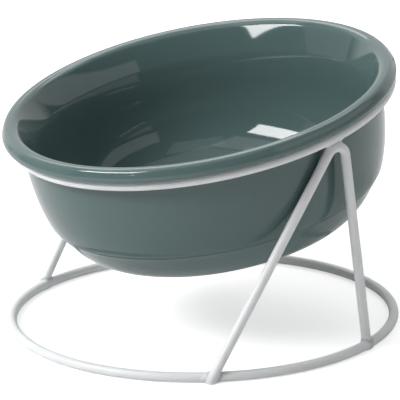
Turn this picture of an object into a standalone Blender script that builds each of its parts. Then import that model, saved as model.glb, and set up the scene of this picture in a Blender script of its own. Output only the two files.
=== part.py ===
"""Elevated cat bowl: a glazed ceramic bowl that hangs by its thick lip in a tilted ring of a welded wire stand.

Units are metres and +Z is up. The origin is on the floor, at the middle of the lower ring. The low side of
the tilted bowl faces -Y, and the two legs, each one wire bent to a V, stand at +X and -X.
"""
import bmesh
import bpy
from math import cos, pi, radians, sin, sqrt
from mathutils import Matrix, Vector

# Wire stand
WIRE_DIAMETER = 0.0040
UPPER_RING_RADIUS = 0.0762
LOWER_RING_SPREAD = 0.0008
UPPER_RING_HEIGHT = 0.0881
UPPER_RING_SETBACK = 0.0014
TILT = radians(10.5)

# Each leg: where its ends meet the lower ring and its bend meets the upper one, as angles round from the low side
LEG_FRONT_ANGLE = radians(62.4)
LEG_REAR_ANGLE = radians(117.8)
LEG_TOP_ANGLE = radians(101.7)
LEG_FRONT_OUTSET = 0.0015
LEG_REAR_OUTSET = -0.0005
LEG_TOP_OUTSET = 0.0007
LEG_BEND_RADIUS = 0.0042

# Weld beads: half sizes along the ring, outwards and upwards
TOP_WELD_SIZE = (0.0032, 0.0013, 0.0026)
TOP_WELD_OUTSET = 0.0016
FOOT_WELD_SIZE = (0.0043, 0.0030, 0.0028)
FOOT_WELD_RISE = 0.0020

# Ceramic bowl, measured up and down from the middle of the ring that carries it
BOWL_WALL = 0.0058
BOWL_DEPTH = 0.0508
BASE_THICKNESS = 0.0050
FLOOR_RADIUS = 0.0360
LIP_OVERHANG = 0.0065
LIP_WIDTH = 0.0075
LIP_HEIGHT = 0.0054
LIP_CROWN = 0.0034
LIP_CORNER = 0.0012
LIP_FILLET = 0.0008
FLARE_DEPTH = 0.0040
SHOULDER_DEPTH = 0.0338
SHOULDER_DRAW = 0.0052
GROOVE_STEP = 0.0010
FOOT_RADIUS = 0.0496
FOOT_WIDTH = 0.0040
FOOT_HEIGHT = 0.0010
FOOT_INSET = 0.0008

# Clearances
SEAT_GAP = 0.0003
BOWL_SLIP = 0.0008

# Facets
WIRE_SIDES = 12
RING_STEPS = 80
BOWL_STEPS = 80
BEND_STEPS = 12

WIRE_RADIUS = WIRE_DIAMETER / 2
LOWER_RING_RADIUS = UPPER_RING_RADIUS + LOWER_RING_SPREAD
LOWER_RING_HEIGHT = WIRE_RADIUS * cos(pi / WIRE_SIDES)

PARTS = "elevated_cat_bowl"
CUTTERS = "cutters"


def clear_scene():
    """Remove whatever the file opened with and make the two collections."""
    for obj in list(bpy.data.objects):
        bpy.data.objects.remove(obj, do_unlink=True)
    for name in (PARTS, CUTTERS):
        bpy.context.scene.collection.children.link(bpy.data.collections.new(name))


def make_material(name, colour, roughness, metallic):
    """A Principled material with one colour."""
    material = bpy.data.materials.new(name)
    material.use_nodes = True
    shader = material.node_tree.nodes["Principled BSDF"]
    shader.inputs["Base Color"].default_value = (*colour, 1.0)
    shader.inputs["Roughness"].default_value = roughness
    shader.inputs["Metallic"].default_value = metallic
    return material


def add_object(name, data, collection, material=None):
    """Put new data into the scene as a named object."""
    obj = bpy.data.objects.new(name, data)
    bpy.data.collections[collection].objects.link(obj)
    if material:
        data.materials.append(material)
    return obj


def shade_round(mesh):
    """Smooth shading, with the true edges kept sharp."""
    mesh.shade_smooth()
    mesh.set_sharp_from_angle(angle=radians(40))


def arc(centre, radius_out, radius_up, start, end, steps):
    """Points of an upright ellipse from one angle to another, both ends included."""
    angles = [radians(start + (end - start) * i / steps) for i in range(steps + 1)]
    return [(centre[0] + radius_out * cos(a), centre[1] + radius_up * sin(a)) for a in angles]


def bezier(start, pull_start, pull_end, end, steps):
    """Points of a cubic Bezier curve, both ends included."""
    points = []
    for i in range(steps + 1):
        t = i / steps
        s = 1 - t
        weights = (s ** 3, 3 * s * s * t, 3 * s * t * t, t ** 3)
        corners = (start, pull_start, pull_end, end)
        points.append(tuple(sum(w * c[k] for w, c in zip(weights, corners)) for k in range(2)))
    return points


def join_points(*runs):
    """Chain runs of points, leaving out the repeated point where two runs meet."""
    chain = []
    for run in runs:
        for point in run:
            if not chain or sqrt(sum((a - b) ** 2 for a, b in zip(chain[-1], point))) > 1e-6:
                chain.append(point)
    return chain


def turned_mesh(name, points, closed, steps):
    """Turn a profile of (radius, height) points about Z, as a mesh."""
    profile = bpy.data.meshes.new(name + "_profile")
    count = len(points)
    edges = [(i, (i + 1) % count) for i in range(count if closed else count - 1)]
    profile.from_pydata([(radius, 0.0, height) for radius, height in points], edges, [])
    obj = add_object(name + "_profile", profile, PARTS)
    screw = obj.modifiers.new("turn", "SCREW")
    screw.angle = 2 * pi
    screw.steps = steps
    screw.render_steps = steps
    screw.use_merge_vertices = True
    screw.merge_threshold = 0.00001
    depsgraph = bpy.context.evaluated_depsgraph_get()
    mesh = bpy.data.meshes.new_from_object(obj.evaluated_get(depsgraph))
    bpy.data.objects.remove(obj, do_unlink=True)
    mesh.name = name
    return mesh


def cut(obj, cutters):
    """Subtract closed cutters from an object and apply the result to its mesh."""
    for cutter in cutters:
        boolean = obj.modifiers.new("cut", "BOOLEAN")
        boolean.operation = "DIFFERENCE"
        boolean.solver = "EXACT"
        boolean.object = cutter
    depsgraph = bpy.context.evaluated_depsgraph_get()
    mesh = bpy.data.meshes.new_from_object(obj.evaluated_get(depsgraph))
    obj.modifiers.clear()
    obj.data = mesh


def hide_cutter(obj):
    """Mark an object as a cutter, which is no piece of the bowl."""
    obj.hide_render = True
    obj.display_type = "WIRE"
    return obj


def ring_direction(angle, side):
    """Unit vector from a ring's middle to a point on it, the angle counted from the low side."""
    return Vector((side * sin(angle), -cos(angle), 0.0))


def tilted(vector):
    """Turn a vector from the level frame into the tilted ring's frame."""
    return Vector((vector.x, vector.y * cos(TILT) - vector.z * sin(TILT), vector.y * sin(TILT) + vector.z * cos(TILT)))


def upper_centre():
    """Middle of the tilted ring."""
    return Vector((0.0, UPPER_RING_SETBACK, UPPER_RING_HEIGHT))


def ring_profile(centre_radius, wire_radius):
    """Section of a ring's wire, a polygon with a flat underneath for the ring to stand on."""
    half_side = pi / WIRE_SIDES
    angles = [half_side - 2 * half_side * i for i in range(WIRE_SIDES)]
    return [(centre_radius + wire_radius * cos(a), wire_radius * sin(a)) for a in angles]


def make_ring(name, centre_radius, wire_radius, location, tilt, collection, material=None):
    """A closed ring of wire."""
    mesh = turned_mesh(name, ring_profile(centre_radius, wire_radius), True, RING_STEPS)
    shade_round(mesh)
    ring = add_object(name, mesh, collection, material)
    ring.location = location
    ring.rotation_euler.x = tilt
    return ring


def bowl_profile():
    """Outline of the bowl's wall, from the middle of the floor up the inside, over the lip and down the outside."""
    wall = UPPER_RING_RADIUS - WIRE_RADIUS - SEAT_GAP - BOWL_SLIP
    inner = wall - BOWL_WALL
    base = -(BOWL_DEPTH - FOOT_HEIGHT)
    floor = base + BASE_THICKNESS
    under = WIRE_RADIUS + SEAT_GAP
    outer = wall + LIP_OVERHANG
    shoulder = wall - SHOULDER_DRAW

    # The lip's dome, and the flared band that leads down from it to the inner wall
    crown = (outer - LIP_WIDTH / 2, under + LIP_HEIGHT - LIP_CROWN)
    dome = arc(crown, LIP_WIDTH / 2, LIP_CROWN, 150, 0, 9)
    flare_top = dome[0]
    flare_foot = (inner, -FLARE_DEPTH)
    wall_pull = inner - 0.74 * BOWL_WALL
    inside = bezier((FLOOR_RADIUS, floor), (wall_pull, floor), (wall_pull, 0.56 * floor), flare_foot, 10)
    foot_pull = (inner + 0.24 * BOWL_WALL, -0.25 * FLARE_DEPTH)
    top_pull = (flare_top[0] - 0.24 * LIP_WIDTH, flare_top[1] - 0.5 * LIP_HEIGHT)
    flare = bezier(flare_foot, foot_pull, top_pull, flare_top, 3)

    # The lip's flat underside, which rests on the ring
    corner = arc((outer - LIP_CORNER, under + LIP_CORNER), LIP_CORNER, LIP_CORNER, 0, -90, 3)
    fillet = arc((wall + LIP_FILLET, under - LIP_FILLET), LIP_FILLET, LIP_FILLET, 90, 180, 2)

    # The nearly upright side, down to the groove under its shoulder
    side = bezier(fillet[-1], (wall - 0.09 * SHOULDER_DRAW, -0.33 * SHOULDER_DEPTH),
                  (wall - 0.29 * SHOULDER_DRAW, -0.72 * SHOULDER_DEPTH), (shoulder, -SHOULDER_DEPTH), 7)
    step_height = 1.4 * GROOVE_STEP
    groove = arc((shoulder, -SHOULDER_DEPTH - step_height), GROOVE_STEP, step_height, 90, 180, 2)

    # The round below it, and the foot
    start = groove[-1]
    end = (FOOT_RADIUS + FOOT_INSET, base)
    width = start[0] - end[0]
    height = start[1] - end[1]
    low = bezier(start, (start[0] - 0.22 * width, start[1] - 0.315 * height),
                 (end[0] + 0.53 * width, end[1] + 0.06 * height), end, 8)
    taper = 0.3 * FOOT_HEIGHT
    foot = [
        (FOOT_RADIUS, base),
        (FOOT_RADIUS - taper, -BOWL_DEPTH),
        (FOOT_RADIUS - FOOT_WIDTH + taper, -BOWL_DEPTH),
        (FOOT_RADIUS - FOOT_WIDTH, base),
    ]
    return join_points([(0.0, floor)], inside, flare, dome, corner, fillet, side, groove, low, foot, [(0.0, base)])


def make_bowl(material):
    """The bowl, turned about its own axis and set down on the tilted ring, a little towards its low side."""
    mesh = turned_mesh("bowl", bowl_profile(), False, BOWL_STEPS)
    shade_round(mesh)
    bowl = add_object("bowl", mesh, PARTS, material)
    bowl.location = upper_centre() + tilted(Vector((0.0, -BOWL_SLIP, 0.0)))
    bowl.rotation_euler.x = TILT
    return bowl


def leg_frame(side):
    """The bend's middle, the way up to the ring, the touching point and the two ends of one leg."""
    low_centre = Vector((0.0, 0.0, LOWER_RING_HEIGHT))
    front = low_centre + (LOWER_RING_RADIUS + LEG_FRONT_OUTSET) * ring_direction(LEG_FRONT_ANGLE, side)
    rear = low_centre + (LOWER_RING_RADIUS + LEG_REAR_OUTSET) * ring_direction(LEG_REAR_ANGLE, side)
    top = upper_centre() + (UPPER_RING_RADIUS + LEG_TOP_OUTSET) * tilted(ring_direction(LEG_TOP_ANGLE, side))
    tangent = tilted(ring_direction(LEG_TOP_ANGLE + pi / 2, side))
    normal = (rear - front).cross(top - front).normalized()
    up = normal.cross(tangent).normalized()
    if up.z < 0:
        up.negate()
    contact = top - (WIRE_RADIUS + SEAT_GAP / 2) * up
    middle = top - (LEG_BEND_RADIUS + WIRE_DIAMETER + SEAT_GAP) * up
    return middle, up, contact, front, rear


def tangent_point(middle, end, other_end):
    """Where a straight wire from one end touches the round of the bend, on the side away from the other leg."""
    along = end - middle
    distance = along.length
    along.normalize()
    across = other_end - middle
    across = -(across - across.dot(along) * along).normalized()
    share = LEG_BEND_RADIUS / distance
    return middle + LEG_BEND_RADIUS * (share * along + sqrt(1 - share * share) * across)


def leg_path(side, overrun=0.0):
    """Centre line of a leg: straight up from the front foot, round the bend and down to the rear foot.

    An overrun carries both ends on past the ring, for cutters.
    """
    middle, up, contact, front, rear = leg_frame(side)
    first = tangent_point(middle, front, rear) - middle
    last = tangent_point(middle, rear, front) - middle
    turn = first.angle(up) + last.angle(up)
    axis = first.cross(up).normalized()
    points = [front]
    for i in range(BEND_STEPS + 1):
        angle = turn * i / BEND_STEPS
        points.append(middle + first * cos(angle) + axis.cross(first) * sin(angle))
    points.append(rear)
    points[0] = front + overrun * (front - points[1]).normalized()
    points[-1] = rear + overrun * (rear - points[-2]).normalized()
    return points


def tube_mesh(name, points, radius):
    """A tube along a line of points, with its ends closed."""
    curve = bpy.data.curves.new(name + "_line", "CURVE")
    curve.dimensions = "3D"
    curve.bevel_depth = radius
    curve.bevel_resolution = (WIRE_SIDES - 4) // 2
    curve.use_fill_caps = True
    spline = curve.splines.new("POLY")
    spline.points.add(len(points) - 1)
    for slot, point in zip(spline.points, points):
        slot.co = (*point, 1.0)
    obj = add_object(name + "_line", curve, PARTS)
    depsgraph = bpy.context.evaluated_depsgraph_get()
    mesh = bpy.data.meshes.new_from_object(obj.evaluated_get(depsgraph))
    bpy.data.objects.remove(obj, do_unlink=True)
    work = bmesh.new()
    work.from_mesh(mesh)
    bmesh.ops.remove_doubles(work, verts=work.verts, dist=0.00001)
    work.to_mesh(mesh)
    work.free()
    mesh.name = name
    return mesh


def make_leg(name, side, ring_cutter, material):
    """One leg, its two ends hollowed to sit on the lower ring."""
    leg = add_object(name, tube_mesh(name, leg_path(side), WIRE_RADIUS), PARTS, material)
    cut(leg, [ring_cutter])
    shade_round(leg.data)
    return leg


def make_weld(name, centre, tangent, outward, half_sizes, cutters, material):
    """A bead of weld metal, longest along the ring, hollowed to the wires that it joins."""
    work = bmesh.new()
    bmesh.ops.create_uvsphere(work, u_segments=16, v_segments=10, radius=1.0)
    for vert in work.verts:
        vert.co = Vector((vert.co.x * half_sizes[0], vert.co.y * half_sizes[1], vert.co.z * half_sizes[2]))
    mesh = bpy.data.meshes.new(name)
    work.to_mesh(mesh)
    work.free()
    up = tangent.cross(outward).normalized()
    turn = Matrix((tangent, outward, up)).transposed()
    bead = add_object(name, mesh, PARTS, material)
    bead.rotation_mode = "QUATERNION"
    bead.rotation_quaternion = turn.to_quaternion()
    bead.location = centre
    bpy.context.view_layer.update()
    cut(bead, cutters)
    shade_round(bead.data)
    return bead


def make_top_weld(name, side, cutters, material):
    """The bead in the outer corner between a leg's bend and the upper ring."""
    tangent = tilted(ring_direction(LEG_TOP_ANGLE + side * pi / 2, side))
    outward = tilted(ring_direction(LEG_TOP_ANGLE, side))
    centre = leg_frame(side)[2] + TOP_WELD_OUTSET * outward
    return make_weld(name, centre, tangent, outward, TOP_WELD_SIZE, cutters, material)


def make_foot_weld(name, side, angle, outset, foot, towards, cutters, material):
    """The collar round a leg's end, over the lower ring."""
    tangent = ring_direction(angle + side * pi / 2, side)
    outward = ring_direction(angle, side)
    along = (towards - foot).normalized()
    centre = foot - 0.5 * outset * outward + FOOT_WELD_RISE * along
    return make_weld(name, centre, tangent, outward, FOOT_WELD_SIZE, cutters, material)


def build():
    clear_scene()
    glaze = make_material("glaze", (0.114, 0.178, 0.168), 0.12, 0.0)
    lower_coat = make_material("lower_ring_coat", (0.80, 0.81, 0.81), 0.42, 0.0)
    upper_coat = make_material("upper_ring_coat", (0.80, 0.81, 0.81), 0.42, 0.0)
    level = Vector((0.0, 0.0, LOWER_RING_HEIGHT))
    make_bowl(glaze)
    make_ring("lower_ring", LOWER_RING_RADIUS, WIRE_RADIUS, level, 0.0, PARTS, lower_coat)
    make_ring("upper_ring", UPPER_RING_RADIUS, WIRE_RADIUS, upper_centre(), TILT, PARTS, upper_coat)

    grown = WIRE_RADIUS + SEAT_GAP
    lower_cutter = hide_cutter(make_ring("lower_ring_cutter", LOWER_RING_RADIUS, grown, level, 0.0, CUTTERS))
    upper_cutter = hide_cutter(make_ring("upper_ring_cutter", UPPER_RING_RADIUS, grown, upper_centre(), TILT, CUTTERS))
    bpy.context.view_layer.update()
    for word, side in (("right", 1), ("left", -1)):
        coat = make_material(word + "_leg_coat", (0.80, 0.81, 0.81), 0.42, 0.0)
        weld = make_material(word + "_weld_coat", (0.80, 0.81, 0.81), 0.45, 0.0)
        make_leg(word + "_leg", side, lower_cutter, coat)
        path = leg_path(side)
        long_path = leg_path(side, SEAT_GAP)
        leg_cutter = add_object(word + "_leg_cutter", tube_mesh(word + "_leg_cutter", long_path, grown), CUTTERS)
        hide_cutter(leg_cutter)
        bpy.context.view_layer.update()
        make_top_weld(word + "_top_weld", side, [upper_cutter, leg_cutter], weld)
        foot_cutters = [lower_cutter, leg_cutter]
        make_foot_weld(word + "_front_weld", side, LEG_FRONT_ANGLE, LEG_FRONT_OUTSET, path[0], path[1],
                       foot_cutters, weld)
        make_foot_weld(word + "_rear_weld", side, LEG_REAR_ANGLE, LEG_REAR_OUTSET, path[-1], path[-2],
                       foot_cutters, weld)


build()
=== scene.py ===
# %% [markdown]
# # An elevated cat bowl
#
# The object is a glazed ceramic bowl. It hangs by its thick lip in a tilted ring of white wire, so that a
# cat can eat without bending its neck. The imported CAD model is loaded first, as a fixed frame: it says
# where every piece is and which pieces move together. This lesson then makes a finer surface and a finish
# for each piece.

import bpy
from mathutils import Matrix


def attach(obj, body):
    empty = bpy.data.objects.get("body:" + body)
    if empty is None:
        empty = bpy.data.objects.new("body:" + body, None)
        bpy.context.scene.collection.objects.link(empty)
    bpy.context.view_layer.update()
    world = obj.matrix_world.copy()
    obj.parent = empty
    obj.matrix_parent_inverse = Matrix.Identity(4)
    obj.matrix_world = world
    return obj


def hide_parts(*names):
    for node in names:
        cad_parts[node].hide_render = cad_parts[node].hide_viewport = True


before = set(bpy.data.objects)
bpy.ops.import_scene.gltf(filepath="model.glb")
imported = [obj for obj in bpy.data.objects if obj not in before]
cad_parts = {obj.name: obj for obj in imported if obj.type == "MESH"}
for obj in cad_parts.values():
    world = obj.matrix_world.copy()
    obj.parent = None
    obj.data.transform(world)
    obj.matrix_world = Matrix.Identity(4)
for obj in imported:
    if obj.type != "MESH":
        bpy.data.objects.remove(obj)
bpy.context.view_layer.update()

# %% [markdown]
# Every length is in metres. The numbers below are the ones that the CAD model was built from, so the finer
# surfaces lie exactly where the plain solids are. Only the wire is a little thinner: the solid's wire has
# twelve flat sides whose corners lie on a 2 mm circle, and the round wire here just fits inside the sides.
# The upper ring is tilted about the X axis and carries the bowl, so both are worked out in the ring's own
# level frame first and then turned into place.

# %% The sizes that everything shares
import bpy
import numpy as np

WIRE = 0.00193
LOWER_RING = 0.0770
UPPER_RING = 0.0762
UPPER_CENTRE = np.array([0.0, 0.0014, 0.0881])
TILT = np.radians(10.5)
BOWL_SLIP = 0.0008

tilt_x = np.array([1.0, 0.0, 0.0])
tilt_y = np.array([0.0, np.cos(TILT), np.sin(TILT)])
tilt_z = np.array([0.0, -np.sin(TILT), np.cos(TILT)])
print("The ring's axis leans to", tilt_z.round(4))


# %% [markdown]
# Three small helpers come up again and again. The first turns arrays of points and faces into a mesh object
# with smooth shading. The second closes a grid of points into faces: the grid's columns run round the
# piece, and its rows run along it, so a face joins each point to its neighbours to the right and above. The
# third gives a direction a length of one.

# %% Helpers that make a mesh from arrays
def mesh_object(name, points, quads, triangles=()):
    """An object at the origin whose mesh has these points and these four- and three-sided faces."""
    mesh = bpy.data.meshes.new(name)
    quads = np.asarray(quads, dtype=np.int32).reshape(-1, 4)
    triangles = np.asarray(triangles, dtype=np.int32).reshape(-1, 3)
    loops = np.concatenate([quads.ravel(), triangles.ravel()])
    starts = np.concatenate([np.arange(len(quads)) * 4, len(quads) * 4 + np.arange(len(triangles)) * 3])
    mesh.vertices.add(len(points))
    mesh.vertices.foreach_set("co", np.asarray(points, dtype=np.float32).ravel())
    mesh.loops.add(len(loops))
    mesh.loops.foreach_set("vertex_index", loops)
    mesh.polygons.add(len(starts))
    mesh.polygons.foreach_set("loop_start", starts.astype(np.int32))
    mesh.update(calc_edges=True)
    mesh.validate()
    mesh.shade_smooth()
    obj = bpy.data.objects.new(name, mesh)
    bpy.context.scene.collection.objects.link(obj)
    print(name, "has", len(points), "points and", len(starts), "faces")
    return obj


def grid_faces(rows, columns, wrap_rows=False):
    """The faces of a grid that closes on itself sideways, and also end to end where wrap_rows is true."""
    row = np.arange(rows if wrap_rows else rows - 1)[:, None]
    column = np.arange(columns)[None, :]
    here = row * columns + column
    right = row * columns + (column + 1) % columns
    up_row = (row + 1) % rows
    return np.stack([here, right, up_row * columns + (column + 1) % columns, up_row * columns + column],
                    axis=-1).reshape(-1, 4)


def unit(vector):
    """The same direction with a length of one."""
    return vector / np.linalg.norm(vector)


# %% [markdown]
# ## The bowl
#
# The real bowl was thrown or cast round, so a turned surface is the natural way to make it: one outline,
# taken all the way round an axis. A Screw modifier would do the same. Here the outline and the turning are
# arrays, because then the outline can be sampled as finely as its curves need, and a soft wobble of the
# clay can be added to the finished points. The outline is chained from straight bands, parts of ellipses
# and Bezier curves.

# %% Curves that the outline is chained from
def bezier(start, pull_start, pull_end, end, count):
    """Points on a cubic Bezier: its four corners, weighted s^3, 3s^2t, 3st^2 and t^3, where s = 1 - t."""
    t = np.linspace(0, 1, count)[:, None]
    s = 1 - t
    return s**3 * np.array(start) + 3 * s * s * t * np.array(pull_start) \
        + 3 * s * t * t * np.array(pull_end) + t**3 * np.array(end)


def arc(centre, radius_out, radius_up, start, end, count):
    """Points on an ellipse: centre plus radius_out cos a outwards and radius_up sin a upwards."""
    angle = np.radians(np.linspace(start, end, count))
    return np.stack([centre[0] + radius_out * np.cos(angle), centre[1] + radius_up * np.sin(angle)], axis=1)


def line(start, end, count):
    """Evenly spaced points on a straight line: (1 - t) start + t end."""
    t = np.linspace(0, 1, count)[:, None]
    return np.array(start) * (1 - t) + np.array(end) * t


# %% [markdown]
# The lip is a thick roll: flat on top, tighter towards the outside, with a small round where its outer face
# meets the flat underside that rests on the wire. Inside it a narrow band flares open, and turns without an
# edge into the wall, which drops to a round floor. Outside, the side falls almost straight to a thin groove
# under its shoulder, and a rounder part leads to the foot. Each stretch is one curve whose end points and
# pulls are given in metres from the axis and from the ring's middle, so the lip can be changed without
# touching the foot.

# %% The bowl's outline
SOLID_WIRE = 0.0020
SEAT_GAP = 0.0003
WALL = UPPER_RING - SOLID_WIRE - SEAT_GAP - BOWL_SLIP
LIP_OVERHANG = 0.0065
OUTER = WALL + LIP_OVERHANG
UNDER = SOLID_WIRE
LIP_TOP = 0.00760
LIP_CORNER = 0.0018
LIP_FILLET = 0.0008
SHOULDER = (WALL - 0.0052, -0.0338)
GROOVE_STEP, GROOVE_DROP = 0.0010, 0.0014
FLOOR = -0.0448
FLOOR_RADIUS = 0.0360
BASE = -0.0498
FOOT_TIP = BASE - 0.0010
FOOT_STEP, FOOT_OUTSIDE, FOOT_INSIDE, FOOT_SLANT = 0.0504, 0.0496, 0.0456, 0.0003
SAME_POINT = 1e-6


def lip_and_flare():
    """From the floor up the wall and the flare, over the lip and down to its corner, as curves that join."""
    wall_top, flare_foot, flare_top = (0.0648, -0.0150), (0.0676, -0.0026), (0.07260, 0.00605)
    crown, knee_high, knee_low = (0.07570, LIP_TOP), (0.07790, 0.00715), (0.07862, 0.00625)
    corner_middle = (OUTER - LIP_CORNER, UNDER + LIP_CORNER)
    return [
        bezier((FLOOR_RADIUS, FLOOR), (0.0540, FLOOR), (0.0626, -0.0329), wall_top, 70),
        bezier(wall_top, (0.06559, -0.00855), (0.06672, -0.00440), flare_foot, 40),
        bezier(flare_foot, (0.06913, 0.00055), (0.07148, 0.00439), flare_top, 30),
        bezier(flare_top, (0.07325, 0.00700), (0.07460, LIP_TOP), crown, 24),
        bezier(crown, (0.07660, LIP_TOP), (0.07737, LIP_TOP), knee_high, 24),
        bezier(knee_high, (0.07822, 0.00691), (0.07845, 0.00659), knee_low, 12),
        bezier(knee_low, (0.07903, 0.00555), (OUTER, 0.0049), (OUTER, UNDER + LIP_CORNER), 24),
        arc(corner_middle, LIP_CORNER, LIP_CORNER, 0, -90, 12)]


def side_and_foot():
    """From the fillet under the lip down the side, over the groove and the foot to the base's middle."""
    fillet = arc((WALL + LIP_FILLET, UNDER - LIP_FILLET), LIP_FILLET, LIP_FILLET, 90, 180, 8)
    groove_foot = (SHOULDER[0] - GROOVE_STEP, SHOULDER[1] - GROOVE_DROP)
    foot = [(FOOT_OUTSIDE, BASE), (FOOT_OUTSIDE - FOOT_SLANT, FOOT_TIP), (FOOT_INSIDE + FOOT_SLANT, FOOT_TIP),
            (FOOT_INSIDE, BASE)]
    return [
        fillet,
        bezier(fillet[-1], (WALL - 0.00047, -0.0112), (WALL - 0.0015, -0.0243), SHOULDER, 50),
        bezier(SHOULDER, (SHOULDER[0] - 0.0003, SHOULDER[1] - 0.0006),
               (SHOULDER[0] - GROOVE_STEP, SHOULDER[1] - 0.0002), groove_foot, 10),
        bezier(groove_foot, (0.0633, -0.0398), (0.0591, -0.0489), (FOOT_STEP, BASE), 50),
        *[line(start, end, 5) for start, end in zip(foot, foot[1:])],
        line(foot[-1], (0.0, BASE), 20)]


def bowl_outline():
    """Radius and height of the outline's points, from the floor's middle over the lip to the base."""
    upper, lower = lip_and_flare(), side_and_foot()
    floor = line((0.0, FLOOR), (FLOOR_RADIUS, FLOOR), 14)
    seat = line(upper[-1][-1], lower[0][0], 5)
    chain = np.concatenate([floor, *upper, seat, *lower])
    keep = np.append(True, np.linalg.norm(np.diff(chain, axis=0), axis=1) > SAME_POINT)
    return chain[keep]


outline = bowl_outline()
outline_height = float(np.ptp(outline[:, 1]))
print("The outline has", len(outline), "points and is", round(outline_height * 1000, 1), "mm high")


# %% [markdown]
# Clay shrinks and leans a little as it dries, so a real bowl is never perfectly round. The wobble here is
# two slow waves round the bowl. It only ever takes away, at most 0.06 mm, so the bowl stays clear of the
# wire that carries it and inside the solid's own box.

# %% Turn the outline
BOWL_COLUMNS = 240
OVAL_SHARE, TWIST_SHARE = 0.00025, 0.00014
OVAL_TURN = 0.6
TWIST_LENGTH = 0.020


def wobble(angle, height):
    """Share of the radius kept at an angle a and a height h.

    It is 1 - OVAL_SHARE (1 + cos(2a + OVAL_TURN)) - TWIST_SHARE (1 + cos(3a + h / TWIST_LENGTH)).
    """
    oval = OVAL_SHARE * (1 + np.cos(2 * angle + OVAL_TURN))
    twist = TWIST_SHARE * (1 + np.cos(3 * angle + height / TWIST_LENGTH))
    return 1 - oval - twist


def turned(outline, columns):
    """Each outline point (r, h) goes round as (r cos a, r sin a, h), with r times the wobble at a and h.

    The two ends of the outline lie on the axis and stay single points, each closed by a fan.
    """
    angle = np.linspace(0, 2 * np.pi, columns, endpoint=False)
    body = outline[1:-1]
    radius = body[:, :1] * wobble(angle, body[:, 1:])
    height = np.broadcast_to(body[:, 1:], radius.shape)
    points = np.stack([radius * np.cos(angle), radius * np.sin(angle), height], axis=-1).reshape(-1, 3)
    quads = grid_faces(len(body), columns)[:, ::-1]
    first = np.arange(columns)
    second = (first + 1) % columns
    last_row = (len(body) - 1) * columns
    poles = np.array([[0.0, 0.0, outline[0, 1]], [0.0, 0.0, outline[-1, 1]]])
    floor_fan = np.stack([np.full(columns, len(points)), first, second], axis=1)
    base_fan = np.stack([np.full(columns, len(points) + 1), last_row + second, last_row + first], axis=1)
    return np.concatenate([points, poles]), quads, np.concatenate([floor_fan, base_fan])


def into_tilt(points, centre):
    """Level points turned into the ring's tilt: centre + x tilt_x + y tilt_y + z tilt_z."""
    return centre + points[:, :1] * tilt_x + points[:, 1:2] * tilt_y + points[:, 2:] * tilt_z


bowl_centre = UPPER_CENTRE - BOWL_SLIP * tilt_y
bowl_points, bowl_quads, bowl_fans = turned(outline, BOWL_COLUMNS)
bowl = mesh_object("bowl_glazed", into_tilt(bowl_points, bowl_centre), bowl_quads, bowl_fans)
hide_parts("bowl")
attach(bowl, "bowl")


# %% [markdown]
# ## The wire stand
#
# The stand is four bent pieces of steel wire: two rings and two legs. A ring is a small circle carried round
# a large one, and a leg is the same small circle carried along a line that runs straight up, turns over a
# small round and runs straight down again. Both are a profile along a path, so one function makes both.

# %% Carry a round wire along a path
def wire_surface(path, out, radius, sides, closed):
    """Each path point plus radius times (out cos a + across sin a).

    Across is the cross product of the path's direction and out, so the two span the wire's round section.
    """
    ahead = np.roll(path, -1, axis=0) - np.roll(path, 1, axis=0)
    if not closed:
        ahead[0] = path[1] - path[0]
        ahead[-1] = path[-1] - path[-2]
    ahead /= np.linalg.norm(ahead, axis=1)[:, None]
    out = out - (out * ahead).sum(axis=1)[:, None] * ahead
    out /= np.linalg.norm(out, axis=1)[:, None]
    across = np.cross(ahead, out)
    angle = np.linspace(0, 2 * np.pi, sides, endpoint=False)
    points = path[:, None, :] + radius * (np.cos(angle)[None, :, None] * out[:, None, :]
                                          + np.sin(angle)[None, :, None] * across[:, None, :])
    return points.reshape(-1, 3)


def ring_points(radius, angle):
    """Points (r sin a, -r cos a, 0) on a level circle, a counted from the low side, -Y, towards +X."""
    return np.stack([radius * np.sin(angle), -radius * np.cos(angle), np.zeros_like(angle)], axis=1)


# %% [markdown]
# Each ring is bent from one straight wire and its ends are welded and ground, so no seam shows, and the
# grid of points closes on itself both ways. The lower ring lies level on the floor, and the upper ring is
# the same kind of circle turned into the tilt.

# %% The two rings
RING_COLUMNS = 288
WIRE_SIDES = 24

round_angles = np.linspace(0, 2 * np.pi, RING_COLUMNS, endpoint=False)
level_out = ring_points(1.0, round_angles)
ring_faces = grid_faces(RING_COLUMNS, WIRE_SIDES, wrap_rows=True)
floor_middle = np.array([0.0, 0.0, WIRE])
ring_lines = {"lower_ring": floor_middle + ring_points(LOWER_RING, round_angles),
              "upper_ring": into_tilt(ring_points(UPPER_RING, round_angles), UPPER_CENTRE)}
lower_points = wire_surface(ring_points(LOWER_RING, round_angles), level_out, WIRE, WIRE_SIDES, True)
upper_points = wire_surface(ring_points(UPPER_RING, round_angles), level_out, WIRE, WIRE_SIDES, True)
lower_ring = mesh_object("lower_ring_wire", floor_middle + lower_points, ring_faces)
upper_ring = mesh_object("upper_ring_wire", into_tilt(upper_points, UPPER_CENTRE), ring_faces)
for ring, node in ((lower_ring, "lower_ring"), (upper_ring, "upper_ring")):
    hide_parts(node)
    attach(ring, "stand")


# %% [markdown]
# A leg's line lies in a plane through its two feet and the point where its bend meets the upper ring. The
# bend is a round of 4.2 mm, which is about what this wire makes when it is bent over a pin, and the two
# straight runs touch that round. The feet end at the lower ring, the front one a little outside its middle
# and below it, and what would reach under the floor is ground flat, as on the real stand.

# %% The line of a leg
FRONT_ANGLE, REAR_ANGLE, TOP_ANGLE = np.radians([62.4, 117.8, 101.7])
FRONT_OUTSET, REAR_OUTSET, TOP_OUTSET = 0.0019, -0.0005, 0.0007
FRONT_DROP, REAR_DROP = 0.0010, 0.0000
BEND = 0.0042
BEND_POINTS, STRAIGHT_POINTS = 28, 60


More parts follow.
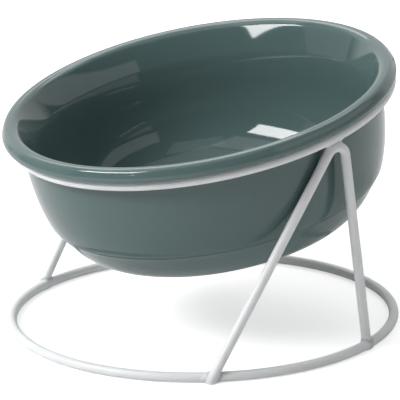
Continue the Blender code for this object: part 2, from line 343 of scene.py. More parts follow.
def toward(angle, side):
    """Unit vector from a ring's middle to an angle from the low side, on the right (1) or the left (-1)."""
    return np.array([side * np.sin(angle), -np.cos(angle), 0.0])


def turn_up(vector):
    """A level vector turned into the ring's tilt: x tilt_x + y tilt_y + z tilt_z."""
    return vector[0] * tilt_x + vector[1] * tilt_y + vector[2] * tilt_z


def leg_marks(side):
    """The two feet, the middle of the bend, the way from it to the ring, and the plane's normal."""
    front = floor_middle + (LOWER_RING + FRONT_OUTSET) * toward(FRONT_ANGLE, side) - (0.0, 0.0, FRONT_DROP)
    rear = floor_middle + (LOWER_RING + REAR_OUTSET) * toward(REAR_ANGLE, side) - (0.0, 0.0, REAR_DROP)
    top = UPPER_CENTRE + (UPPER_RING + TOP_OUTSET) * turn_up(toward(TOP_ANGLE, side))
    tangent = turn_up(toward(TOP_ANGLE + np.pi / 2, side))
    normal = unit(np.cross(rear - front, top - front))
    up = unit(np.cross(normal, tangent))
    up = up if up[2] > 0 else -up
    return front, rear, top - (BEND + 2 * WIRE) * up, up, normal


def touch_point(middle, end, other_end):
    """Where a straight run from one end touches the bend, on the side away from the other run.

    Seen from the bend's middle it is BEND (s along + sqrt(1 - s^2) across), where s = BEND / distance.
    """
    along = end - middle
    distance = np.linalg.norm(along)
    along = along / distance
    across = other_end - middle
    across = -unit(across - np.dot(across, along) * along)
    share = BEND / distance
    return BEND * (share * along + np.sqrt(1 - share * share) * across)


def leg_line(side):
    """Straight from the front foot to the bend, round it in even steps, and straight to the rear foot."""
    front, rear, middle, up, normal = leg_marks(side)
    first = touch_point(middle, front, rear)
    last = touch_point(middle, rear, front)
    turn = np.arccos(np.dot(unit(first), up)) + np.arccos(np.dot(unit(last), up))
    axis = unit(np.cross(first, up))
    angle = np.linspace(0, turn, BEND_POINTS)[:, None]
    bend = middle + first * np.cos(angle) + np.cross(axis, first) * np.sin(angle)
    rise = line(front, bend[0], STRAIGHT_POINTS)[:-1]
    fall = line(bend[-1], rear, STRAIGHT_POINTS)[1:]
    return np.concatenate([rise, bend, fall]), normal


# %% [markdown]
# The wire is carried along that line, and because a leg has two ends, each is closed by a fan of triangles.
# What would lie under the floor is lifted to it, which gives the ground flats under the feet.

# %% The two legs
def capped(points, sides):
    """Close a tube's two ends with a fan round a middle point each."""
    rows = len(points) // sides
    quads = grid_faces(rows, sides)
    first = np.arange(sides)
    second = (first + 1) % sides
    last_row = (rows - 1) * sides
    middles = np.stack([points[:sides].mean(axis=0), points[-sides:].mean(axis=0)])
    start_fan = np.stack([np.full(sides, len(points)), second, first], axis=1)
    end_fan = np.stack([np.full(sides, len(points) + 1), last_row + first, last_row + second], axis=1)
    return np.concatenate([points, middles]), quads, np.concatenate([start_fan, end_fan])


GROUND_OFF = 0.00003
legs = {}
leg_lines = {}
for word, side in (("right", 1), ("left", -1)):
    path, normal = leg_line(side)
    leg_lines[word] = path
    surface = wire_surface(path, np.tile(normal, (len(path), 1)), WIRE, WIRE_SIDES, False)
    surface[:, 2] = np.maximum(surface[:, 2], GROUND_OFF)
    leg = mesh_object(word + "_leg_wire", *capped(surface, WIRE_SIDES))
    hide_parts(word + "_leg")
    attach(leg, "stand")
    legs[word] = leg


# %% [markdown]
# ## The welds
#
# Where two wires meet, the joint was melted together and then coated, so a small soft fillet fills the
# corner between them. The sum of two wires is easy to describe by distance: a point is on a wire where its
# distance from the wire's line, less the wire's radius, is zero. Taking the smaller of two such distances
# gives both wires at once, and rounding off that smaller-of where the two are nearly equal gives the
# fillet. Each weld is the skin of that rounded sum, found by walking outwards from the weld's middle in
# every direction. It is sunk by 0.02 mm, so that away from the corner it hides inside the wires.

# %% Distance from a line, and the rounded sum of two wires
FILLET = 0.0024
SKIN_SINK = 0.00002


def line_distance(points, path):
    """Shortest distance from each point to a chain of straight pieces, less the wire's radius."""
    start, along = path[:-1], np.diff(path, axis=0)
    offset = points[:, None, :] - start[None, :, :]
    share = np.clip((offset * along).sum(axis=2) / (along * along).sum(axis=1), 0, 1)
    return np.linalg.norm(offset - share[:, :, None] * along, axis=2).min(axis=1) - WIRE


def rounded_sum(points, path_a, path_b):
    """Two values: min(a, b) - m^2 / (4 FILLET) + SKIN_SINK, and m / FILLET, which is 1 in mid-corner.

    Here m = FILLET - |a - b|, or 0 where that is negative, and a and b are the distances from the two wires.
    """
    a = line_distance(points, path_a)
    b = line_distance(points, path_b)
    overlap = np.maximum(FILLET - np.abs(a - b), 0)
    return np.minimum(a, b) - overlap * overlap / (4 * FILLET) + SKIN_SINK, overlap / FILLET


# %% [markdown]
# The skin is found by numbers alone: a grid of directions round the weld's middle, and for each the
# distance at which the rounded sum changes sign. Coarse steps find the stretch, and halving it a dozen
# times finds the spot to within a thousandth of a millimetre. All directions are worked on at once.

# %% The skin of a weld
WELD_ROWS, WELD_COLUMNS = 40, 64
WELD_STEPS = 26
HALVINGS = 12
TOP_REACH, FOOT_REACH = 0.0052, 0.0044


def near_part(path, middle, reach):
    """The stretch of a path that lies within reach of a point, which keeps the distance sums short."""
    close = np.nonzero(np.linalg.norm(path - middle, axis=1) < reach)[0]
    if close[-1] - close[0] > len(path) / 2:
        path = np.roll(path, len(path) // 2, axis=0)
        close = np.nonzero(np.linalg.norm(path - middle, axis=1) < reach)[0]
    return path[max(close[0] - 1, 0):close[-1] + 2]


def weld_skin(middle, path_a, path_b, reach):
    """Walk out each way until the rounded sum turns positive, or to reach, and halve in on that spot.

    The ways form a grid of angles: polar from pole to pole, and round_it all the way round.
    """
    polar = np.linspace(0, np.pi, WELD_ROWS + 2)[1:-1]
    round_it = np.linspace(0, 2 * np.pi, WELD_COLUMNS, endpoint=False)
    way = np.stack([np.outer(np.sin(polar), np.cos(round_it)), np.outer(np.sin(polar), np.sin(round_it)),
                    np.outer(np.cos(polar), np.ones(WELD_COLUMNS))], axis=-1).reshape(-1, 3)
    way = np.concatenate([way, [[0.0, 0.0, 1.0], [0.0, 0.0, -1.0]]])
    path_a = near_part(path_a, middle, 2 * reach)
    path_b = near_part(path_b, middle, 2 * reach)
    high = np.full(len(way), reach)
    for step in np.linspace(0, reach, WELD_STEPS)[1:]:
        outside = rounded_sum(middle + step * way, path_a, path_b)[0] > 0
        high = np.where(outside & (high == reach), step, high)
    low = np.maximum(high - reach / (WELD_STEPS - 1), 0)
    for _ in range(HALVINGS):
        halfway = (low + high) / 2
        outside = rounded_sum(middle + halfway[:, None] * way, path_a, path_b)[0] > 0
        high = np.where(outside, halfway, high)
        low = np.where(outside, low, halfway)
    points = middle + high[:, None] * way
    # The corner's share, which later masks the painted shade in a weld's corner.
    corner = rounded_sum(points, path_a, path_b)[1]
    points[:, 2] = np.maximum(points[:, 2], GROUND_OFF)
    return points, corner


def weld_faces():
    """A grid from pole to pole, with a fan at each."""
    quads = grid_faces(WELD_ROWS, WELD_COLUMNS)[:, ::-1]
    first = np.arange(WELD_COLUMNS)
    second = (first + 1) % WELD_COLUMNS
    north = WELD_ROWS * WELD_COLUMNS
    last_row = (WELD_ROWS - 1) * WELD_COLUMNS
    north_fan = np.stack([np.full(WELD_COLUMNS, north), first, second], axis=1)
    south_fan = np.stack([np.full(WELD_COLUMNS, north + 1), last_row + second, last_row + first], axis=1)
    return quads, np.concatenate([north_fan, south_fan])


welds = []
weld_corner_shades = []
for word, side in (("right", 1), ("left", -1)):
    front, rear, bend_middle, up, _ = leg_marks(side)
    front_spot = front - 0.5 * FRONT_OUTSET * toward(FRONT_ANGLE, side) + (0.0, 0.0, FRONT_DROP)
    rear_spot = rear - 0.5 * REAR_OUTSET * toward(REAR_ANGLE, side) + (0.0, 0.0, REAR_DROP)
    spots = {"top": (bend_middle + (BEND + WIRE) * up, "upper_ring", TOP_REACH),
             "front": (front_spot, "lower_ring", FOOT_REACH),
             "rear": (rear_spot, "lower_ring", FOOT_REACH)}
    for spot, (weld_middle, ring_name, reach) in spots.items():
        skin, corner = weld_skin(weld_middle, leg_lines[word], ring_lines[ring_name], reach)
        weld = mesh_object(word + "_" + spot + "_weld_fillet", skin, *weld_faces())
        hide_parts(word + "_" + spot + "_weld")
        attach(weld, "stand")
        welds.append(weld)
        weld_corner_shades.append(corner)


# %% [markdown]
# ## Finishes
#
# There are two finishes: a glossy glaze on the bowl and a white powder coat on the wire. Each is one
# Principled shader whose colour, roughness and relief vary a little over the surface, because nothing that
# has been fired or baked is quite even. The effects that both share are node groups, built once and then
# placed in each material with that finish's own sizes. Those sizes are real lengths, because Object
# coordinates are in metres.

# %% Helpers that build nodes
def add_node(tree, kind, inputs=None, **settings):
    """Add a node, apply its plain settings, and give each input named a value or a link from another node."""
    node = tree.nodes.new("ShaderNode" + kind)
    for key, value in settings.items():
        setattr(node, key, value)
    for key, value in (inputs or {}).items():
        if isinstance(value, bpy.types.NodeSocket):
            tree.links.new(value, node.inputs[key])
        else:
            node.inputs[key].default_value = value
    return node


def new_group(name, inputs, outputs):
    """A shader node group with these sockets, a kind for each name, and the sockets of its two end nodes."""
    group = bpy.data.node_groups.new(name, "ShaderNodeTree")
    for direction, sockets in (("INPUT", inputs), ("OUTPUT", outputs)):
        for socket_name, kind in sockets.items():
            group.interface.new_socket(socket_name, in_out=direction, socket_type="NodeSocket" + kind)
    return group, group.nodes.new("NodeGroupInput").outputs, group.nodes.new("NodeGroupOutput").inputs


def principled(name, colour, roughness):
    """A material with one Principled shader, its node tree, and that shader."""
    material = bpy.data.materials.new(name)
    material.use_nodes = True
    shader = material.node_tree.nodes["Principled BSDF"]
    shader.inputs["Base Color"].default_value = (*colour, 1.0)
    shader.inputs["Roughness"].default_value = roughness
    return material, material.node_tree, shader


# %% [markdown]
# The first group is the relief of a coating that melted and set: a soft swell with a finer ripple on it. A
# Noise Texture makes each, and its Scale is one over the size of a ripple. FINE_RATIO says how many times
# finer the second one is.

# %% Ripple group
FINE_RATIO = 4.7

ripple, given, result = new_group(
    "soft_ripple", {"Vector": "Vector", "Size": "Float", "Fine Share": "Float"}, {"Height": "Float"})
coarse_scale = add_node(ripple, "Math", {0: 1.0, 1: given["Size"]}, operation="DIVIDE").outputs[0]
fine_scale = add_node(ripple, "Math", {0: coarse_scale, 1: FINE_RATIO}, operation="MULTIPLY").outputs[0]
swell = add_node(ripple, "TexNoise", {"Vector": given["Vector"], "Scale": coarse_scale, "Detail": 0.0})
fine = add_node(ripple, "TexNoise", {"Vector": given["Vector"], "Scale": fine_scale, "Detail": 1.0})
both = add_node(ripple, "Mix",
                {"Factor": given["Fine Share"], "A": swell.outputs["Fac"], "B": fine.outputs["Fac"]})
ripple.links.new(both.outputs[0], result["Height"])

# %% [markdown]
# The second group makes a colour slightly uneven. The noise, less its middle value, says how much lighter
# or darker the colour is at each place.

# %% Mottle group
mottle, given, result = new_group(
    "mottle", {"Vector": "Vector", "Size": "Float", "Amount": "Float", "Colour": "Color"},
    {"Colour": "Color"})
scale = add_node(mottle, "Math", {0: 1.0, 1: given["Size"]}, operation="DIVIDE").outputs[0]
cloud = add_node(mottle, "TexNoise", {"Vector": given["Vector"], "Scale": scale, "Detail": 3.0})
offset = add_node(mottle, "Math", {0: cloud.outputs["Fac"], 1: 0.5}, operation="SUBTRACT").outputs[0]
shade = add_node(mottle, "Math", {0: offset, 1: given["Amount"], 2: 1.0}, operation="MULTIPLY_ADD").outputs[0]
tinted = add_node(mottle, "VectorMath", {0: given["Colour"], "Scale": shade}, operation="SCALE").outputs[0]
mottle.links.new(tinted, result["Colour"])

# %% [markdown]
# The third group is a scatter of tiny round specks: pinholes in the glaze, and nibs of powder that stood up
# in the coat. A Voronoi Texture gives each cell one point and a random colour. A speck is what lies close
# to that point, and only the cells whose random value is high enough have one.

# %% Speck group
specks, given, result = new_group(
    "specks", {"Vector": "Vector", "Spacing": "Float", "Size": "Float", "Share": "Float"}, {"Mask": "Float"})
scale = add_node(specks, "Math", {0: 1.0, 1: given["Spacing"]}, operation="DIVIDE").outputs[0]
cells = add_node(specks, "TexVoronoi", {"Vector": given["Vector"], "Scale": scale}, feature="F1")
radius = add_node(specks, "Math", {0: given["Size"], 1: scale}, operation="MULTIPLY").outputs[0]
disc = add_node(specks, "MapRange", {"Value": cells.outputs["Distance"], "From Min": 0.0, "From Max": radius,
                                     "To Min": 1.0, "To Max": 0.0}, interpolation_type="SMOOTHSTEP")
chance = add_node(specks, "SeparateColor", {"Color": cells.outputs["Color"]}).outputs[0]
chosen = add_node(specks, "Math", {0: chance, 1: given["Share"]}, operation="LESS_THAN").outputs[0]
mask = add_node(specks, "Math", {0: disc.outputs[0], 1: chosen}, operation="MULTIPLY").outputs[0]
specks.links.new(mask, result["Mask"])

# %% [markdown]
# ## The glaze
#
# Glaze runs a little while it is molten. It draws back from sharp edges, where it turns lighter, and
# gathers in hollows, where it turns deeper. The outline's own bends say where that happens, so three
# numbers are stored at every point of the bowl: thin, from how sharply the outline bends outwards, pool,
# from how sharply it bends inwards, and bare, which is 1 under the foot, where the glaze is wiped off so
# that the bowl doesn't stick in the kiln. The bends are averaged over about a millimetre, because glaze
# spreads.

# %% Where the glaze is thin, deep or missing
THIN_BEND = 330.0
POOL_BEND = 500.0
SPREAD = 0.0009
WIPE_START, WIPE_FADE = 0.0003, 0.0004


def outline_bend(outline):
    """Turn of the outline at each point over the length around it, averaged by a bell curve SPREAD wide."""
    step = np.diff(outline, axis=0)
    length = np.linalg.norm(step, axis=1)
    heading = np.unwrap(np.arctan2(step[:, 1], step[:, 0]))
    turn = np.concatenate([[0.0], -np.diff(heading), [0.0]])
    place = np.concatenate([[0.0], np.cumsum(length)])
    share = np.concatenate([[length[0]], length[:-1] + length[1:], [length[-1]]]) / 2
    weight = np.exp(-0.5 * ((place[:, None] - place[None, :]) / SPREAD) ** 2)
    return (weight @ turn) / (weight @ share)


def store(obj, name, values):
    """Keep one number for each point of a mesh, for its material to read."""
    attribute = obj.data.attributes.new(name, "FLOAT", "POINT")
    attribute.data.foreach_set("value", np.asarray(values, dtype=np.float32))
    print(name, "on", obj.name, "runs from", round(float(np.min(values)), 3),
          "to", round(float(np.max(values)), 3))


def round_the_bowl(values):
    """One value for each outline point, repeated round the bowl in the order of its mesh's points."""
    return np.concatenate([np.repeat(values[1:-1], BOWL_COLUMNS), values[:1], values[-1:]])


bend = outline_bend(outline)
store(bowl, "thin", round_the_bowl(np.clip(bend / THIN_BEND, 0, 1)))
store(bowl, "pool", round_the_bowl(np.clip(-bend / POOL_BEND, 0, 1)))
store(bowl, "bare", round_the_bowl(np.clip((BASE - WIPE_START - outline[:, 1]) / WIPE_FADE, 0, 1)))

# %% [markdown]
# The glaze's colour is mixed in layers: an uneven body colour, lighter where it is thin, deeper where it
# pools and in pinholes, and bare clay under the foot. Its gloss is uneven too, but stays high, since a
# clear mirror is what makes it look like glaze. Three kinds of relief are chained: slow waves, pinholes,
# and grit on the bare clay.

# %% The glaze
GLAZE = (0.086, 0.138, 0.137)
GLAZE_THIN = (0.104, 0.160, 0.159)
GLAZE_DEEP = (0.070, 0.113, 0.113)
BARE_CLAY = (0.56, 0.50, 0.42)
GLAZE_SMOOTHEST, GLAZE_HAZIEST, CLAY_ROUGHNESS = 0.05, 0.085, 0.85

glaze, tree, shader = principled("ceramic_glaze", GLAZE, 0.07)
place = add_node(tree, "TexCoord").outputs["Object"]
thin, pool, bare = [add_node(tree, "Attribute", attribute_name=name).outputs["Fac"]
                    for name in ("thin", "pool", "bare")]
body = add_node(tree, "Group", {"Vector": place, "Size": 0.011, "Amount": 0.09, "Colour": (*GLAZE, 1.0)},
                node_tree=mottle).outputs["Colour"]
pinholes = add_node(tree, "Group", {"Vector": place, "Spacing": 0.0045, "Size": 0.00012, "Share": 0.3},
                    node_tree=specks).outputs["Mask"]
clay = add_node(tree, "Group", {"Vector": place, "Size": 0.0007, "Amount": 0.35, "Colour": (*BARE_CLAY, 1.0)},
                node_tree=mottle).outputs["Colour"]


def mix_colour(tree, factor, first, second):
    """The colour that goes from first to second as factor goes from 0 to 1."""
    return add_node(tree, "Mix", {0: factor, 6: first, 7: second}, data_type="RGBA").outputs[2]


colour = mix_colour(tree, thin, body, (*GLAZE_THIN, 1.0))
colour = mix_colour(tree, pool, colour, (*GLAZE_DEEP, 1.0))
colour = mix_colour(tree, pinholes, colour, (*GLAZE_DEEP, 1.0))
colour = mix_colour(tree, bare, colour, clay)
tree.links.new(colour, shader.inputs["Base Color"])

haze = add_node(tree, "TexNoise", {"Vector": place, "Scale": 60.0, "Detail": 2.0}).outputs["Fac"]
gloss = add_node(tree, "MapRange", {"Value": haze, "From Min": 0.3, "From Max": 0.7,
                                    "To Min": GLAZE_SMOOTHEST, "To Max": GLAZE_HAZIEST})
roughness = add_node(tree, "Mix", {"Factor": bare, "A": gloss.outputs[0], "B": CLAY_ROUGHNESS}).outputs[0]
tree.links.new(roughness, shader.inputs["Roughness"])

waves = add_node(tree, "Group", {"Vector": place, "Size": 0.0075, "Fine Share": 0.12}, node_tree=ripple)
wave_relief = add_node(tree, "Bump", {"Height": waves.outputs["Height"], "Distance": 0.000012})
pits = add_node(tree, "Math", {0: 0.0, 1: pinholes}, operation="SUBTRACT").outputs[0]
pit_relief = add_node(tree, "Bump", {"Height": pits, "Distance": 0.00002,
                                     "Normal": wave_relief.outputs["Normal"]})
grit = add_node(tree, "TexNoise", {"Vector": place, "Scale": 2600.0, "Detail": 4.0}).outputs["Fac"]
grit_relief = add_node(tree, "Bump", {"Height": grit, "Distance": 0.00006, "Strength": bare,
                                      "Normal": pit_relief.outputs["Normal"]})
tree.links.new(grit_relief.outputs["Normal"], shader.inputs["Normal"])
bowl.data.materials.append(glaze)

# %% [markdown]
# ## The powder coat
#
# Powder coat is plastic dust that is baked until it flows. It sets to a satin skin with a fine orange peel
# and a few nibs. Wire and weld get the same recipe with different sizes: over a weld the skin is lumpier and
# rougher, and it carries painted shade, greyer in the corner between the two wires where shade falls. The
# cube of the corner's share keeps that painted shade deep in the corner.

# %% Powder coat for the wire and for the welds
COAT = (0.835, 0.85, 0.86)
# Grey for the painted shade in a weld's corner, and the nibs' own grey.
COAT_SHADE_AND_NIB_GREY = (0.45, 0.46, 0.465)
SMOOTHER, ROUGHER = 0.04, 0.05


def powder_coat(name, roughness, peel_size, peel_depth, unevenness, corner=False):
    """A satin white skin: mottled colour, uneven gloss, orange peel, nibs, and painted shade in a weld's
    corner.
    """
    material, tree, shader = principled(name, COAT, roughness)
    place = add_node(tree, "TexCoord").outputs["Object"]
    colour = add_node(tree, "Group", {"Vector": place, "Size": 0.006, "Amount": unevenness,
                                      "Colour": (*COAT, 1.0)}, node_tree=mottle).outputs["Colour"]
    nibs = add_node(tree, "Group", {"Vector": place, "Spacing": 0.006, "Size": 0.00014, "Share": 0.25},
                    node_tree=specks).outputs["Mask"]
    # Painted shade: a weld's corner is mixed towards grey where shade falls between the two wires.
    if corner:
        shaded = add_node(tree, "Attribute", attribute_name="corner").outputs["Fac"]
        colour = mix_colour(tree, shaded, colour, (*COAT_SHADE_AND_NIB_GREY, 1.0))
    colour = mix_colour(tree, nibs, colour, (*COAT_SHADE_AND_NIB_GREY, 1.0))
    tree.links.new(colour, shader.inputs["Base Color"])
    haze = add_node(tree, "TexNoise", {"Vector": place, "Scale": 350.0, "Detail": 2.0}).outputs["Fac"]
    gloss = add_node(tree, "MapRange", {"Value": haze, "From Min": 0.3, "From Max": 0.7,
                                        "To Min": roughness - SMOOTHER, "To Max": roughness + ROUGHER})
    tree.links.new(gloss.outputs[0], shader.inputs["Roughness"])
    peel = add_node(tree, "Group", {"Vector": place, "Size": peel_size, "Fine Share": 0.3}, node_tree=ripple)
    peel_relief = add_node(tree, "Bump", {"Height": peel.outputs["Height"], "Distance": peel_depth})
    nib_relief = add_node(tree, "Bump", {"Height": nibs, "Distance": 0.00003,
                                         "Normal": peel_relief.outputs["Normal"]})
    tree.links.new(nib_relief.outputs["Normal"], shader.inputs["Normal"])
    return material


wire_coat = powder_coat("wire_powder_coat", roughness=0.38, peel_size=0.0011, peel_depth=0.000016,
                        unevenness=0.05)
weld_coat = powder_coat("weld_powder_coat", roughness=0.46, peel_size=0.0009, peel_depth=0.00005,
                        unevenness=0.09, corner=True)
for piece in (lower_ring, upper_ring, legs["right"], legs["left"]):
    piece.data.materials.append(wire_coat)
for piece, corner in zip(welds, weld_corner_shades):
    # The cube of the corner's share is the mask of the painted shade in a weld's corner.
    store(piece, "corner", corner**3)
    piece.data.materials.append(weld_coat)
print("Materials:", sorted(material.name for material in (glaze, wire_coat, weld_coat)))

# %% [markdown]
# ## The camera
#
# The photograph was taken from a little above, with a long lens, so the rings look almost like true
# ellipses.

# %% Camera
from mathutils import Matrix, Vector

CAMERA_TURN = np.radians(60.5)
CAMERA_RISE = np.radians(18.63)
CAMERA_AWAY = 1.638
CAMERA_AIM = np.array([0.0, 0.0, 0.002])
CAMERA_PITCH = np.radians(1.60)
CAMERA_YAW = np.radians(-0.01)
CAMERA_ROLL = np.radians(-1.12)
LENS = 364.77


def direction_of(turn, rise):
    """Unit vector (sin t cos r, -cos t cos r, sin r) for a turn t from -Y towards +X and a rise r."""
    return np.array([np.sin(turn) * np.cos(rise), -np.cos(turn) * np.cos(rise), np.sin(rise)])


def add_camera():
    """A long lens at the photograph's viewpoint."""
    away = direction_of(CAMERA_TURN, CAMERA_RISE)
    forward = -away
    right = unit(np.cross(forward, (0.0, 0.0, 1.0)))
    up = np.cross(right, forward)
    forward = unit(forward + np.tan(CAMERA_YAW) * right + np.tan(CAMERA_PITCH) * up)
    right = unit(np.cross(forward, up))
    up = np.cross(right, forward)
    rolled_right = np.cos(CAMERA_ROLL) * right + np.sin(CAMERA_ROLL) * up
    rolled_up = -np.sin(CAMERA_ROLL) * right + np.cos(CAMERA_ROLL) * up
    camera = bpy.data.cameras.new("camera")
    camera.lens = LENS
    camera.sensor_width = 36.0
    camera.clip_end = 20.0
    obj = bpy.data.objects.new("camera", camera)
    turn = Matrix([rolled_right, rolled_up, -forward]).transposed()
    obj.matrix_world = Matrix.Translation(Vector(CAMERA_AWAY * away + CAMERA_AIM)) @ turn.to_4x4()
    bpy.context.scene.collection.objects.link(obj)
    bpy.context.scene.camera = obj
    print("The camera stands at", [round(value, 3) for value in obj.matrix_world.translation])


add_camera()
bpy.context.scene.view_settings.view_transform = "Standard"

# %% [markdown]
# ## The studio
#
# Glossy glaze shows where the lamps stand, so its reflections in the photograph tell how the studio was
# lit. One bright soft box stands in front of the bowl's low side and makes the two sharp windows inside the
# bowl. A dim one stands on the left, and wide faint ones hang high all round or stand low and fill the
# shadows. A long dim screen runs round the back and makes the grey strips on the left of the inside. Each
# lamp is written as a window of a dome round the object: from which turn to which, from which rise to
# which, and how bright. The screen is one curved mesh that glows, because flat lamps side by side overlap
# in a mirror and show a bright seam.

# %% Lamps
STUDIO_RADIUS = 2.0
STUDIO_MIDDLE = np.array([0.0, 0.0, 0.09])
WATTS_PER_RADIANCE = 4.0
lamp_table = {
    "key_box": (-26, 15, 28, 43, 13.0),
    "left_box": (-116, -92, 30, 47, 1.7),
    "high_left": (-150, -90, 50, 70, 1.95),
    "high_front": (-90, -30, 50, 70, 0.93),
    "side_panel": (-62, -22, 2, 44, 0.35),
    "high_key": (-30, 30, 50, 70, 0.82),
    "high_right": (30, 90, 50, 70, 0.45),
    "high_back": (150, 210, 50, 70, 0.6),
    "low_rear_a": (100, 140, 0, 22, 0.4),
    "low_rear_b": (140, 180, 0, 22, 0.4),
}
OVERHEAD_RISE = 72
ALMOST_UPRIGHT = np.radians(89.99)
OVERHEAD_RADIANCE = 0.47


def add_lamp(name, away, radius, width, height, radiance):
    """A rectangle of light that faces the bowl from a distance.

    Its energy in watts is WATTS_PER_RADIANCE times its radiance and its area.
    """
    lamp = bpy.data.lights.new(name, "AREA")
    lamp.shape = "RECTANGLE"
    lamp.size = width
    lamp.size_y = height
    lamp.energy = radiance * WATTS_PER_RADIANCE * width * height
    obj = bpy.data.objects.new(name, lamp)
    turn = Vector(away).to_track_quat("Z", "Y").to_matrix().to_4x4()
    obj.matrix_world = Matrix.Translation(Vector(radius * away + STUDIO_MIDDLE)) @ turn
    bpy.context.scene.collection.objects.link(obj)


def add_window(name, radius, turn_low, turn_high, rise_low, rise_high, radiance):
    """A lamp that fills a window of the studio's dome, from one turn and rise to another.

    On a dome of radius R it is 2 R cos(rise) tan(w / 2) wide and 2 R tan(h / 2) high, where w and h are the
    angles that it spans and rise is that of its middle.
    """
    turn, rise = np.radians([(turn_low + turn_high) / 2, (rise_low + rise_high) / 2])
    width = 2 * radius * np.cos(rise) * np.tan(np.radians((turn_high - turn_low) / 2))
    height = 2 * radius * np.tan(np.radians((rise_high - rise_low) / 2))
    add_lamp(name, direction_of(turn, rise), radius, width, height, radiance)


for name, window in lamp_table.items():
    add_window(name, STUDIO_RADIUS, *window)


# %% [markdown]
# The screen is a grid of turns and rises on the same dome. The camera doesn't see it, so that a picture can
# be taken from behind it, but reflections and the light it gives stay.

# %% The screen round the back
SCREEN_COLUMNS, SCREEN_ROWS = 41, 5


def add_screen(name, turn_low, turn_high, rise_low, rise_high, radiance):
    """A curved screen of even light: the studio's dome at each turn and rise of a grid."""
    turn, rise = np.meshgrid(np.radians(np.linspace(turn_low, turn_high, SCREEN_COLUMNS)),
                             np.radians(np.linspace(rise_low, rise_high, SCREEN_ROWS)))
    points = STUDIO_RADIUS * np.moveaxis(direction_of(turn, rise), 0, -1).reshape(-1, 3) + STUDIO_MIDDLE
    cells = np.arange(SCREEN_ROWS - 1)[:, None] * SCREEN_COLUMNS + np.arange(SCREEN_COLUMNS - 1)[None, :]
    above = cells + SCREEN_COLUMNS
    quads = np.stack([cells, above, above + 1, cells + 1], axis=-1).reshape(-1, 4)
    screen = mesh_object(name, points, quads)
    material, _, shader = principled(name, (0.0, 0.0, 0.0), 1.0)
    shader.inputs["Emission Color"].default_value = (1.0, 1.0, 1.0, 1.0)
    shader.inputs["Emission Strength"].default_value = radiance
    screen.data.materials.append(material)
    screen.visible_camera = False


add_screen("far_screen", turn_low=96, turn_high=228, rise_low=25, rise_high=40, radiance=0.85)
overhead_size = 2 * STUDIO_RADIUS / np.tan(np.radians(OVERHEAD_RISE))
add_lamp("overhead", direction_of(0.0, ALMOST_UPRIGHT), STUDIO_RADIUS, overhead_size, overhead_size,
         OVERHEAD_RADIANCE)
print("Lamps:", sorted([*lamp_table, "overhead"]), "and one screen")

# %% [markdown]
# The floor and the backdrop are white in the picture without lighting the object more: a Light Path node
# gives them a glow that only the camera and mirror-like reflections see. The floor's own colour under the
# lamps still shows, so the object keeps its soft shadow. In reflections the backdrop stands where a paper
# roll would, behind the object as the camera sees it, and the rest of the room stays dim. The floor's glow
# grows with the distance from the object, because the lamps reach less and less of it.

# %% The floor
FLOOR_SIZE = 6.0
FLOOR_LEVEL = -0.0002
FLOOR_COLOUR, FLOOR_ROUGHNESS = (0.85, 0.85, 0.85), 0.8
FLOOR_GLOW_NEAR, FLOOR_GLOW_FAR = 0.6, 1.0
FLOOR_FADE_START, FLOOR_FADE_END = 0.25, 1.2
FLOOR_MIRROR_GLOW = 0.15


def mirror_ray(tree):
    """Two values that are 1 for a mirrored or transmitted ray, and for the camera's own ray."""
    path = add_node(tree, "LightPath").outputs
    mirrored = add_node(tree, "Math", {0: path["Is Glossy Ray"], 1: path["Is Transmission Ray"]},
                        operation="MAXIMUM")
    return mirrored.outputs[0], path["Is Camera Ray"]


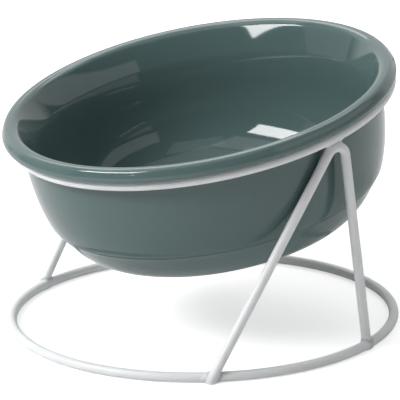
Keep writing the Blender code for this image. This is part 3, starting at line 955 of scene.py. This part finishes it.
floor_mesh = bpy.data.meshes.new("floor")
corners = FLOOR_SIZE * np.array([(-1, -1), (1, -1), (1, 1), (-1, 1)])
floor_mesh.from_pydata([(x, y, FLOOR_LEVEL) for x, y in corners], [], [(0, 1, 2, 3)])
floor = bpy.data.objects.new("floor", floor_mesh)
bpy.context.scene.collection.objects.link(floor)
floor_material, tree, shader = principled("floor", FLOOR_COLOUR, FLOOR_ROUGHNESS)
mirrored, camera_ray = mirror_ray(tree)
place = add_node(tree, "TexCoord").outputs["Object"]
distance = add_node(tree, "VectorMath", {0: place}, operation="LENGTH").outputs["Value"]
floor_glow = add_node(tree, "MapRange", {
    "Value": distance, "From Min": FLOOR_FADE_START, "From Max": FLOOR_FADE_END,
    "To Min": FLOOR_GLOW_NEAR, "To Max": FLOOR_GLOW_FAR}).outputs[0]
camera_glow = add_node(tree, "Math", {0: camera_ray, 1: floor_glow}, operation="MULTIPLY").outputs[0]
glow = add_node(tree, "Math", {0: mirrored, 1: FLOOR_MIRROR_GLOW, 2: camera_glow},
                operation="MULTIPLY_ADD").outputs[0]
shader.inputs["Emission Color"].default_value = (1.0, 1.0, 1.0, 1.0)
tree.links.new(glow, shader.inputs["Emission Strength"])
floor_mesh.materials.append(floor_material)

# %% [markdown]
# The world is nearly dark for the light it gives, so that the lamps alone shape the object. A Mix Shader
# swaps in plain white for the camera's own rays, and for mirrored rays that leave towards the backdrop. How
# near a ray points to the backdrop is the dot product of the two directions, which is the cosine of the
# angle between them.

# %% The world
WORLD_LEVEL = 0.03
BACKDROP_TURN, BACKDROP_RISE = np.radians([-120.0, 8.0])
BACKDROP_INSIDE, BACKDROP_EDGE = np.cos(np.radians([50.0, 60.0]))

world = bpy.data.worlds.new("studio")
bpy.context.scene.world = world
world.use_nodes = True
tree = world.node_tree
dim = tree.nodes["Background"]
dim.inputs["Color"].default_value = (1.0, 1.0, 1.0, 1.0)
dim.inputs["Strength"].default_value = WORLD_LEVEL
white = add_node(tree, "Background", {"Color": (1.0, 1.0, 1.0, 1.0), "Strength": 1.0})
way = add_node(tree, "TexCoord").outputs["Generated"]
toward_backdrop = add_node(tree, "VectorMath", {0: way, 1: direction_of(BACKDROP_TURN, BACKDROP_RISE)},
                           operation="DOT_PRODUCT").outputs["Value"]
backdrop = add_node(tree, "MapRange", {"Value": toward_backdrop, "From Min": BACKDROP_EDGE,
                                       "From Max": BACKDROP_INSIDE}).outputs[0]
mirrored, camera_ray = mirror_ray(tree)
mirrored_backdrop = add_node(tree, "Math", {0: mirrored, 1: backdrop}, operation="MULTIPLY").outputs[0]
seen = add_node(tree, "Math", {0: mirrored_backdrop, 1: camera_ray}, operation="MAXIMUM").outputs[0]
chosen = add_node(tree, "MixShader", {0: seen, 1: dim.outputs[0], 2: white.outputs[0]})
tree.links.new(chosen.outputs[0], tree.nodes["World Output"].inputs["Surface"])
